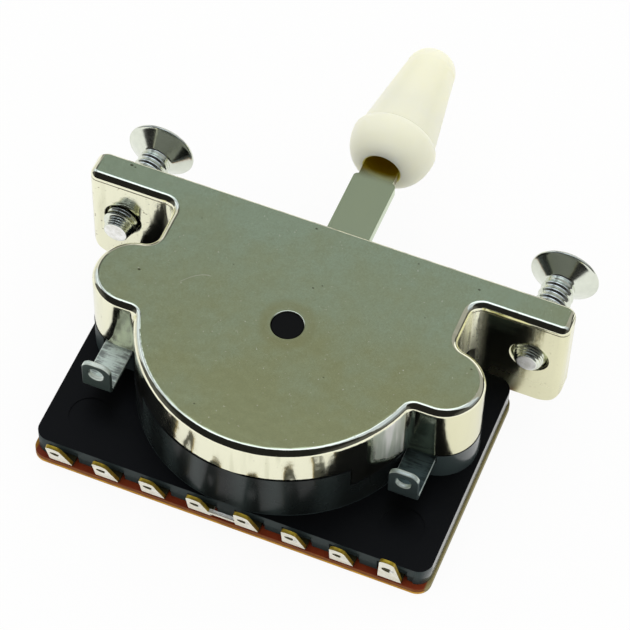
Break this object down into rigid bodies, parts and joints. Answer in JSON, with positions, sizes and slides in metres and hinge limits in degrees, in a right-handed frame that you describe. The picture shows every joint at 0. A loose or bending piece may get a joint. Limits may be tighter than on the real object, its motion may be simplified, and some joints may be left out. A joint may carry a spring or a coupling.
{
  "type": "lever selector switch",
  "caption": "Closed rotary lever switch for an electric guitar: cast metal cover with screw ears, moulded body, contact board with solder lugs, and a swinging lever with a tapered knob.",
  "frame": {"origin": "the lever's pivot axis at the underside of the contact board", "axes": "+X along the long edge of the board, +Y towards the lever's tip, +Z from the board to the cover"},
  "size_m": [0.0482, 0.0562, 0.0132],
  "materials": {
    "nickel_plate": "satin to bright nickel plate on a zinc casting",
    "black_moulding": "satin black moulding, glossy round the drum",
    "phenolic_board": "red-brown phenolic sheet with a sawn edge",
    "tinned_brass": "tinned, with brass showing at the sheared edges",
    "zinc_plate": "bright zinc plate with grain",
    "screw_plate": "nickel plate",
    "lever_steel": "plated strip steel",
    "cream_knob": "smooth cream moulding",
    "rotor_nylon": "black nylon",
    "spring_bronze": "bare phosphor bronze",
    "spring_steel": "bare spring steel"
  },
  "bodies": {
    "base": {"common_terminal": "tinned_brass", "contact_board": "phenolic_board", "cover": "nickel_plate", "detent_spring": "spring_steel", "ground_tag_left": "zinc_plate", "ground_tag_right": "zinc_plate", "housing": "black_moulding", "mounting_screw_left": "screw_plate", "mounting_screw_right": "screw_plate", "terminal_1": "tinned_brass", "terminal_2": "tinned_brass", "terminal_3": "tinned_brass", "terminal_6": "tinned_brass", "terminal_7": "tinned_brass", "terminal_8": "tinned_brass", "thrust_washer": "spring_steel"},
    "lever": {"lever": "lever_steel", "knob": "cream_knob", "rotor": "rotor_nylon", "wiper_left": "spring_bronze", "wiper_right": "spring_bronze"}
  },
  "joints": [
    {"name": "lever_turn", "type": "hinge", "parent": "base", "child": "lever", "pos_m": [0, 0, 0.0076], "axis": [0, 0, 1], "range_deg": [-28, 28], "deforming": ["detent_spring"]}
  ]
}
